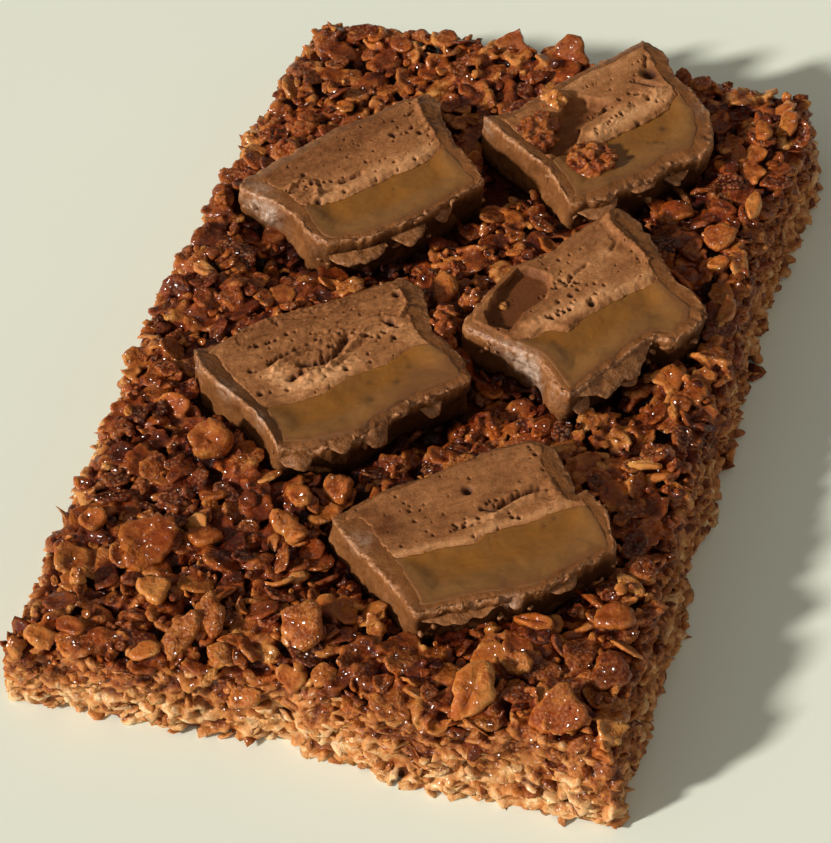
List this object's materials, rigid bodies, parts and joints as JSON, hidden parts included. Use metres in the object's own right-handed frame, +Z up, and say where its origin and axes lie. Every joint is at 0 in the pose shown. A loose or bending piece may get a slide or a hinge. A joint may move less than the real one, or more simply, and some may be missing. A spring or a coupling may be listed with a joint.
{
  "type": "flapjack",
  "caption": "Baked oat and syrup slab, cut to a rectangle, with slices of coated nougat and caramel bar pressed into its top.",
  "frame": {"origin": "middle of the underside's box, on the surface that the flapjack rests on", "axes": "+Z up, +Y along the slab's long way, +X across it"},
  "size_m": [0.0876, 0.1434, 0.0191],
  "materials": {
    "oats": "syrup-coated baked oats, dark amber and glossy on top, paler and drier at the cut sides",
    "coating": "satin milk-brown coating",
    "nougat": "matt, finely porous brown nougat",
    "caramel": "smooth golden-brown caramel, slightly translucent"
  },
  "bodies": {
    "root": {"oat_slab": "oats", "slice_1_coating": "coating", "slice_1_nougat": "nougat", "slice_1_caramel": "caramel", "slice_2_coating": "coating", "slice_2_nougat": "nougat", "slice_2_caramel": "caramel", "slice_3_coating": "coating", "slice_3_nougat": "nougat", "slice_3_caramel": "caramel", "slice_4_coating": "coating", "slice_4_nougat": "nougat", "slice_4_caramel": "caramel", "slice_5_coating": "coating", "slice_5_nougat": "nougat", "slice_5_caramel": "caramel"}
  },
  "joints": []
}
